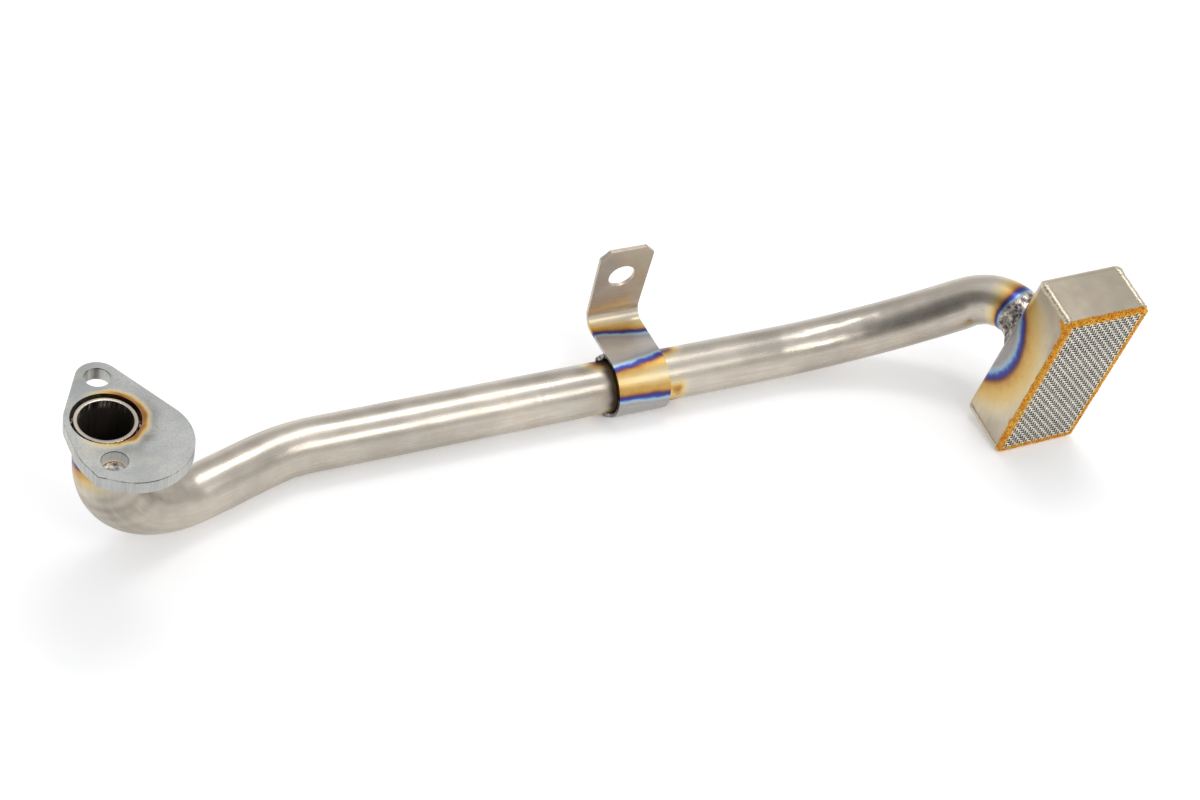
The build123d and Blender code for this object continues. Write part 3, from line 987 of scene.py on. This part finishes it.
def steel(
    name, colour, temper, place=on_straight, heat=stored_heat, stretch=(60, 900, 900),
    gloss=(0.2, 0.36), specks=0.5, streaks=0.35, molten=0.0, painted_dark=None,
):
    """Worked steel with drawing marks, stains, specks and the colours that heat leaves.

    place and heat are functions of the graph that give its coordinates and its heat,
    and the last function, if any, gives where painted shade and painted dark reflections turn the steel
    nearly black.
    """
    graph = Graph(bpy.data.materials.new(name))
    where = place(graph)
    warm = heat(graph, where)
    drift = graph.noise(where, 260.0, 3.0, 0.6)
    fine_drift = graph.noise(where, 1100.0)
    warm = graph.plus(warm, graph.spread(drift, -0.016, 0.016))
    warm = graph.math("ADD", warm, graph.spread(fine_drift, -0.004, 0.004), clamp=True)
    clouds = graph.noise(where, 45.0, 3.0, 0.55)
    marks = graph.noise(graph.add("Mapping", Vector=where, Scale=stretch).outputs[0], 1.0, 4.0, 0.6)
    stain = graph.noise(where, 95.0, 4.0, 0.65)
    grain = graph.noise(where, 2600.0, 2.0, 0.6)
    lumps = graph.noise(where, 520.0, 3.0, 0.6)
    melt = graph.times(graph.range(warm, 0.70, 0.78), molten)
    black = graph.attribute("soot_and_shade")

    base = graph.mix(graph.range(clouds, 0.35, 0.65), shaded(colour, 0.80), shaded(colour, 1.10))
    base = graph.mix(graph.range(marks, 0.35, 0.7, 0.0, streaks), base, shaded(colour, 0.66))
    base = graph.mix(graph.range(stain, 0.56, 0.72, 0.0, 0.3), base, shaded(colour, 0.82, 0.68, 0.56))
    base = graph.mix(graph.range(stain, 0.44, 0.30, 0.0, 0.3), base, shaded(colour, 0.80, 0.95, 1.04))
    presence = graph.times(graph.range(warm, 0.05, 0.42), temper)
    shown = graph.mix(presence, base, graph.ramp(warm, TEMPER))
    shown = graph.mix(graph.range(grain, 0.66, 0.74, 0.0, specks), shown, shaded(colour, 0.35))
    shown = graph.mix(melt, shown, graph.ramp(graph.spread(lumps), MELTED))
    # Smoke stains and painted shade, both read from the mesh, darken the steel to one dark brown.
    shown = graph.mix(black, shown, linear(52, 40, 30))
    # Painted shade inside the box and a painted dark reflection under the plate's top edge turn the steel
    # nearly black.
    if painted_dark is not None:
        shown = graph.mix(painted_dark(graph, where), shown, shaded(colour, 0.10))
    dull = graph.range(marks, 0.3, 0.75, *gloss)
    dull = graph.plus(dull, graph.range(clouds, 0.4, 0.7, 0.0, 0.07))
    dull = graph.plus(dull, graph.times(black, 0.4))
    height = graph.plus(marks, graph.times(grain, 0.6))
    height = graph.plus(height, graph.times(graph.times(melt, lumps), 14.0))
    return graph.metal(shown, dull, height, 0.18, 0.00012)


def box_place(graph, where):
    """Where a point is along the box, across it and out of its mouth."""
    ways = (BOX.x, BOX.y, BOX.z)
    return [graph.math("SUBTRACT", graph.dot(where, way), float(BOX.origin @ way) * MM) for way in ways]


def box_inside_shade(graph, where):
    """1 on the walls' inner faces, which get painted shade, and 0 outside."""
    along, across, depth = box_place(graph, where)
    by_end = graph.math("LESS_THAN", graph.math("ABSOLUTE", along), (BOX_LENGTH / 2 - INSIDE_FROM) * MM)
    by_side = graph.math("LESS_THAN", graph.math("ABSOLUTE", across), (BOX_WIDTH / 2 - INSIDE_FROM) * MM)
    back = graph.math("MULTIPLY_ADD", along, BACK_SLOPE, (INSIDE_FROM - BOX_FOOT_DEEPER / 2) * MM)
    return graph.times(graph.times(by_end, by_side), graph.math("GREATER_THAN", depth, back))


def plate_rim_dark_reflection(graph, where):
    """A painted dark reflection: a broken dark line just under the plate's upper edge."""
    up = graph.add("SeparateXYZ", Vector=where).outputs[2]
    above = graph.range(up, 1.75 * MM, 2.0 * MM)
    below = graph.range(up, 2.22 * MM, 2.34 * MM, 1.0, 0.0)
    broken = graph.range(graph.noise(where, 210.0, 3.0, 0.6), 0.36, 0.52, 0.25, 0.95)
    return graph.times(graph.times(above, below), broken)


def box_heat(graph, where):
    """How hot each point of the folded box became, by its way along the sheet to the tube."""
    along, across, depth = box_place(graph, where)
    side = graph.plus(graph.math("ABSOLUTE", across), graph.math("MAXIMUM", depth, 0.0))
    up = graph.math("SUBTRACT", along, (ENTRY_ALONG + 3.5) * MM)
    far = graph.math("SQRT", graph.plus(graph.math("POWER", side, 2.0), graph.math("POWER", up, 2.0)))
    lines = heat_lines(BOX_BLUE, BOX_TAIL, BOX_RISE, BOX_DROP)
    near, melted, drop, straw = (
        graph.math("MULTIPLY_ADD", far, slope / MM, start) for slope, start in lines
    )
    inner = graph.math("MINIMUM", near, melted)
    whole = graph.math("MINIMUM", inner, graph.math("MAXIMUM", drop, straw))
    head = graph.range(along, (BOX_LENGTH / 2 - 9) * MM, (BOX_LENGTH / 2 - 1) * MM, 1.0, 0.1, smooth=True)
    return graph.times(whole, head)


def weld_material(name, colour, bright):
    """Cast-looking weld metal: dull scale in the hollows and bright tops."""
    graph = Graph(bpy.data.materials.new(name))
    where = on_straight(graph)
    warm = stored_heat(graph, where)
    drift = graph.spread(graph.noise(where, 420.0, 3.0), -0.12, 0.12)
    tint = graph.ramp(graph.plus(warm, drift), TEMPER)
    grain = graph.noise(where, 1500.0, 4.0, 0.65)
    lumps = graph.noise(where, 520.0, 3.0, 0.6)
    base = graph.mix(graph.range(grain, 0.35, 0.7), colour, shaded(colour, bright))
    base = graph.mix(graph.range(warm, 0.1, 0.5, 0.12, 0.3), base, tint)
    scale = graph.ramp(graph.spread(lumps), MELTED)
    base = graph.mix(graph.range(warm, 0.3, 0.6, 0.0, 0.75), base, scale)
    height = graph.plus(grain, graph.times(graph.range(warm, 0.3, 0.6, 0.0, 3.0), lumps))
    return graph.metal(base, graph.spread(grain, 0.44, 0.24), height, 0.35, 0.0003)


def braze_material():
    """Brass-coloured braze: yellow on top, orange and pink in places, dark in its pores."""
    graph = Graph(bpy.data.materials.new("braze_brass"))
    where = on_straight(graph)
    patches = graph.noise(where, 620.0, 5.0, 0.75)
    grain = graph.noise(where, 1700.0, 5.0, 0.7)
    pores = graph.add("TexVoronoi", {"feature": "F1"}, Vector=where, Scale=1100.0).outputs["Distance"]
    colour = graph.ramp(graph.range(patches, 0.28, 0.72), BRASS)
    colour = graph.mix(graph.range(grain, 0.40, 0.56, 0.65, 0.0), colour, linear(120, 72, 34))
    colour = graph.mix(graph.range(pores, 0.0, 0.30, 0.85, 0.0), colour, linear(84, 54, 30))
    return graph.metal(colour, graph.spread(grain, 0.48, 0.2), graph.plus(grain, pores), 0.9, 0.0006)


def wire_material(colour):
    """Bright stainless wire with a little dirt and a trace of heat at the rim."""
    graph = Graph(bpy.data.materials.new("screen_wire_bright"))
    where = on_straight(graph)
    warm = stored_heat(graph, where)
    clouds = graph.noise(where, 160.0, 3.0, 0.6)
    fine = graph.noise(where, 1900.0)
    base = graph.mix(graph.spread(clouds), colour, shaded(colour, 0.8))
    base = graph.mix(graph.range(fine, 0.55, 0.75, 0.0, 0.4), base, linear(96, 92, 84))
    base = graph.mix(graph.range(warm, 0.05, 0.3), base, graph.ramp(warm, TEMPER))
    return graph.metal(base, graph.spread(fine, 0.26, 0.4), fine, 0.25, 0.0001)


def floor_material(colour, glow):
    """Matt white studio paper with the faintest mottling."""
    graph = Graph(bpy.data.materials.new("studio_paper"))
    where = on_object(graph)
    fibre = graph.noise(where, 900.0, 3.0, 0.6)
    shade = graph.mix(graph.spread(graph.noise(where, 2.0)), colour, shaded(colour, 0.99))
    return graph.metal(shade, graph.spread(fibre, 0.7, 0.85), fibre, 0.05, 0.0001, metallic=0.0, glow=glow)


# Settings
class PickupSizes(bpy.types.PropertyGroup):
    """How finely the pieces are made, and the sizes that only the looks have."""

    tube_step: bpy.props.FloatProperty(
        name="Tube Step", description="Length of one ring of the tube, in millimetres",
        default=0.95, min=0.5, max=4,
    )
    tube_sides: bpy.props.IntProperty(
        name="Tube Sides", description="Points round the tube", default=96, min=24, max=160
    )
    flattening: bpy.props.FloatProperty(
        name="Flattening", description="How much the bends flatten the tube", default=1.0, min=0, max=2
    )
    sheet_step: bpy.props.FloatProperty(
        name="Sheet Step", description="Mesh size of the plate and the strap, in millimetres",
        default=0.6, min=0.3, max=3,
    )
    pitch_along: bpy.props.FloatProperty(
        name="Mesh Pitch Along", description="From one cross wire to the next, in millimetres",
        default=1.61, min=0.8, max=5,
    )
    pitch_across: bpy.props.FloatProperty(
        name="Mesh Pitch Across", description="From one long wire to the next, in millimetres",
        default=1.43, min=0.8, max=5,
    )
    mesh_angle: bpy.props.FloatProperty(
        name="Mesh Angle", description="Turn of the mesh from the box's length", default=0.0, subtype="ANGLE"
    )
    wire: bpy.props.FloatProperty(
        name="Wire Diameter", description="Thickness of the screen's wires, in millimetres",
        default=0.53, min=0.2, max=0.6,
    )
    ripple_pitch: bpy.props.FloatProperty(
        name="Ripple Pitch", description="Length of one scale of a weld, in millimetres",
        default=1.7, min=0.5, max=5,
    )
    ripple_height: bpy.props.FloatProperty(
        name="Ripple Height", description="Height of a weld's scales as a share of its size",
        default=0.16, min=0, max=0.5,
    )


class PickupLook(bpy.types.PropertyGroup):
    """Colours of the metals, how strong the heat tints are, and the lights."""

    tube_colour: bpy.props.FloatVectorProperty(
        name="Tube Steel", description="Colour of the drawn tube",
        default=linear(198, 189, 176), subtype="COLOR",
    )
    plate_colour: bpy.props.FloatVectorProperty(
        name="Flange Steel", description="Colour of the flange plate",
        default=linear(186, 187, 183), subtype="COLOR",
    )
    strap_colour: bpy.props.FloatVectorProperty(
        name="Strap Steel", description="Colour of the support strap",
        default=linear(202, 190, 174), subtype="COLOR",
    )
    box_colour: bpy.props.FloatVectorProperty(
        name="Box Steel", description="Colour of the folded box",
        default=linear(196, 184, 164), subtype="COLOR",
    )
    weld_colour: bpy.props.FloatVectorProperty(
        name="Weld Metal", description="Colour of the weld beads",
        default=linear(150, 146, 142), subtype="COLOR",
    )
    seam_colour: bpy.props.FloatVectorProperty(
        name="Corner Seams", description="Colour of the seams at the box's corners",
        default=linear(198, 188, 168), subtype="COLOR",
    )
    wire_colour: bpy.props.FloatVectorProperty(
        name="Screen Wire", description="Colour of the woven wire",
        default=linear(234, 230, 220), subtype="COLOR",
    )
    temper_strength: bpy.props.FloatProperty(
        name="Heat Tint", description="Strength of the colours left by heat",
        default=0.95, min=0, max=1, subtype="FACTOR",
    )
    floor_colour: bpy.props.FloatVectorProperty(
        name="Floor", description="Colour of the floor", default=(0.90, 0.90, 0.90), subtype="COLOR"
    )
    floor_glow: bpy.props.FloatProperty(
        name="Floor Glow", description="Light that comes through the floor", default=0.27, min=0, max=1
    )
    overhead_light: bpy.props.FloatProperty(
        name="Overhead Light", description="Power of the light above", default=3.8, min=0, unit="POWER"
    )
    front_light: bpy.props.FloatProperty(
        name="Front Light", description="Power of the light in front", default=3.4, min=0, unit="POWER"
    )
    room_light: bpy.props.FloatProperty(
        name="Room Light", description="Brightness of the room", default=0.92, min=0, max=2
    )


# Operators
class PICKUP_OT_tube(bpy.types.Operator):
    """Build the bent tube"""

    bl_idname = "pickup.tube"
    bl_label = "Build Tube"

    def execute(self, context):
        look = context.scene.pickup_look
        material = steel("tube_drawn_steel", tuple(look.tube_colour), look.temper_strength, molten=1.0)
        finish_with(make_tube(context.scene.pickup_sizes), material)
        return {"FINISHED"}


class PICKUP_OT_flange(bpy.types.Operator):
    """Build the flange plate"""

    bl_idname = "pickup.flange"
    bl_label = "Build Flange"

    def execute(self, context):
        look = context.scene.pickup_look
        material = steel(
            "flange_cut_steel", tuple(look.plate_colour), look.temper_strength,
            stretch=(1100, 1300, 90), gloss=(0.26, 0.42), specks=0.7, streaks=0.6, painted_dark=plate_rim_dark_reflection,
        )
        finish_with(make_plate(context.scene.pickup_sizes), material)
        return {"FINISHED"}


class PICKUP_OT_strap(bpy.types.Operator):
    """Build the support strap"""

    bl_idname = "pickup.strap"
    bl_label = "Build Strap"

    def execute(self, context):
        look = context.scene.pickup_look
        material = steel(
            "strap_strip_steel", tuple(look.strap_colour), look.temper_strength,
            stretch=(700, 70, 700), gloss=(0.3, 0.42),
        )
        finish_with(make_strap(context.scene.pickup_sizes), material)
        return {"FINISHED"}


class PICKUP_OT_box(bpy.types.Operator):
    """Finish the folded box, which keeps its own solid"""

    bl_idname = "pickup.box"
    bl_label = "Finish Box"

    def execute(self, context):
        look = context.scene.pickup_look
        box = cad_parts.get("inlet_box")
        if box is None:
            raise RuntimeError("The frame has no inlet_box to finish")
        material = steel(
            "box_folded_steel", tuple(look.box_colour), look.temper_strength, on_object, box_heat,
            stretch=(300, 300, 70), gloss=(0.26, 0.4), painted_dark=box_inside_shade,
        )
        finish_with(box, material)
        return {"FINISHED"}


class PICKUP_OT_welds(bpy.types.Operator):
    """Build the weld beads on the tube, the strap and the box"""

    bl_idname = "pickup.welds"
    bl_label = "Build Welds"

    def execute(self, context):
        sizes, look = context.scene.pickup_sizes, context.scene.pickup_look
        metal = weld_material("weld_bead_metal", tuple(look.weld_colour), 1.25)
        beads = [
            make_ring_weld("flange_weld_bead", "flange_weld", UNDER_PLATE, 2.4, 2.4, 0.1, 21, sizes),
            make_ring_weld("tube_to_box_bead", "tube_to_box_weld", BACK, 3.0, 5.4, 0.34, 25, sizes),
            *make_strap_welds(sizes),
        ]
        for bead in beads:
            finish_with(bead, metal)
        seam_metal = weld_material("corner_seam_metal", tuple(look.seam_colour), 1.12)
        for seam in make_corner_seams(sizes):
            finish_with(seam, seam_metal)
        return {"FINISHED"}


class PICKUP_OT_screen(bpy.types.Operator):
    """Weave the screen and lay the braze round it"""

    bl_idname = "pickup.screen"
    bl_label = "Build Screen"

    def execute(self, context):
        wire_colour = tuple(context.scene.pickup_look.wire_colour)
        finish_with(make_screen(context.scene.pickup_sizes), wire_material(wire_colour))
        finish_with(make_braze(), braze_material())
        return {"FINISHED"}


class PICKUP_OT_stage(bpy.types.Operator):
    """Set the floor, the soft lights, the room and the camera"""

    bl_idname = "pickup.stage"
    bl_label = "Set Stage"

    def execute(self, context):
        look = context.scene.pickup_look
        make_floor(look)
        make_softbox("overhead_softbox", (0.19, 0.25, 0.94), 0.34, look.overhead_light, (1.0, 0.985, 0.96))
        make_softbox("front_softbox", (0.19, -0.68, 0.69), 0.42, look.front_light, (1.0, 0.99, 0.97))
        make_room(look.room_light)
        make_camera()
        return {"FINISHED"}


class PICKUP_PT_panel(bpy.types.Panel):
    """Sizes, colours and steps of the pickup tube"""

    bl_label = "Pickup Tube"
    bl_idname = "PICKUP_PT_panel"
    bl_space_type = "VIEW_3D"
    bl_region_type = "UI"
    bl_category = "Pickup Tube"

    def draw(self, context):
        for settings in (context.scene.pickup_sizes, context.scene.pickup_look):
            group = self.layout.box()
            for name in settings.__annotations__:
                group.prop(settings, name)
        for operator in OPERATORS:
            self.layout.operator(operator.bl_idname)


# The stage
def make_floor(look):
    shell = bmesh.new()
    bmesh.ops.create_circle(shell, cap_ends=True, radius=FLOOR_RADIUS, segments=96)
    floor = object_from(shell, "studio_floor")
    finish_with(floor, floor_material(tuple(look.floor_colour), look.floor_glow))


def make_softbox(name, toward, height, power, colour):
    """A softbox that looks at the part from some way off."""
    data = bpy.data.lights.new(name, "AREA")
    data.shape = "RECTANGLE"
    data.size = SOFTBOX_WIDTH
    data.size_y = height
    data.energy = power
    data.color = colour
    light = bpy.data.objects.new(name, data)
    toward = unit(toward)
    light.location = Vector(LIGHT_AIM + toward * LIGHT_DISTANCE)
    light.rotation_euler = Vector(toward).to_track_quat("Z", "Y").to_euler()
    bpy.context.scene.collection.objects.link(light)


def make_room(brightness):
    """A pale room that the metal mirrors, brightest low down and dim on its dark side."""
    world = bpy.data.worlds.new("studio_room")
    bpy.context.scene.world = world
    graph = Graph(world)
    toward = graph.add("TexCoord").outputs["Generated"]
    up = graph.range(graph.add("SeparateXYZ", Vector=toward).outputs[2], -1.0, 1.0)
    stops = [(0.47, (1.45, 1.45, 1.45))]
    stops += [(at, (grey, grey, grey * 1.01)) for at, grey in ((0.53, 1.25), (0.62, 0.85), (0.78, 0.72))]
    stops += [(1.0, (1.05, 1.07, 1.12))]
    aside = graph.dot(toward, unit(DARK_SIDE))
    strength = graph.range(aside, 0.46, 0.93, brightness, brightness * DARK_SHARE, smooth=True)
    glow = graph.add("Background", Color=graph.ramp(up, stops), Strength=strength)
    graph.add("OutputWorld", Surface=glow.outputs[0])


def make_camera():
    """The photograph's camera, from its place, its viewing angles and its roll."""
    data = bpy.data.cameras.new("photo_camera")
    data.lens = CAMERA_LENS
    data.sensor_width = CAMERA_SENSOR
    data.clip_start = 0.01
    data.clip_end = 50.0
    camera = bpy.data.objects.new("photo_camera", data)
    tilt = Matrix.Rotation(math.pi / 2 - CAMERA_ELEVATION, 4, "X")
    turn = Matrix.Rotation(math.pi / 2 + CAMERA_AZIMUTH, 4, "Z")
    roll = Matrix.Rotation(CAMERA_ROLL, 4, "Z")
    camera.matrix_world = Matrix.Translation(CAMERA_PLACE) @ turn @ tilt @ roll
    scene = bpy.context.scene
    scene.collection.objects.link(camera)
    scene.camera = camera
    scene.view_settings.view_transform = "Standard"


OPERATORS = (
    PICKUP_OT_tube,
    PICKUP_OT_flange,
    PICKUP_OT_strap,
    PICKUP_OT_box,
    PICKUP_OT_welds,
    PICKUP_OT_screen,
    PICKUP_OT_stage,
)
CLASSES = (PickupSizes, PickupLook, *OPERATORS, PICKUP_PT_panel)


def register():
    for item in CLASSES:
        bpy.utils.register_class(item)
    bpy.types.Scene.pickup_sizes = bpy.props.PointerProperty(type=PickupSizes)
    bpy.types.Scene.pickup_look = bpy.props.PointerProperty(type=PickupLook)


def unregister():
    del bpy.types.Scene.pickup_look
    del bpy.types.Scene.pickup_sizes
    for item in reversed(CLASSES):
        bpy.utils.unregister_class(item)


def main():
    register()
    for step in (
        bpy.ops.pickup.tube,
        bpy.ops.pickup.flange,
        bpy.ops.pickup.strap,
        bpy.ops.pickup.box,
        bpy.ops.pickup.welds,
        bpy.ops.pickup.screen,
        bpy.ops.pickup.stage,
    ):
        if step() != {"FINISHED"}:
            raise RuntimeError("A step of the scene did not finish")


if __name__ == "__main__":
    main()
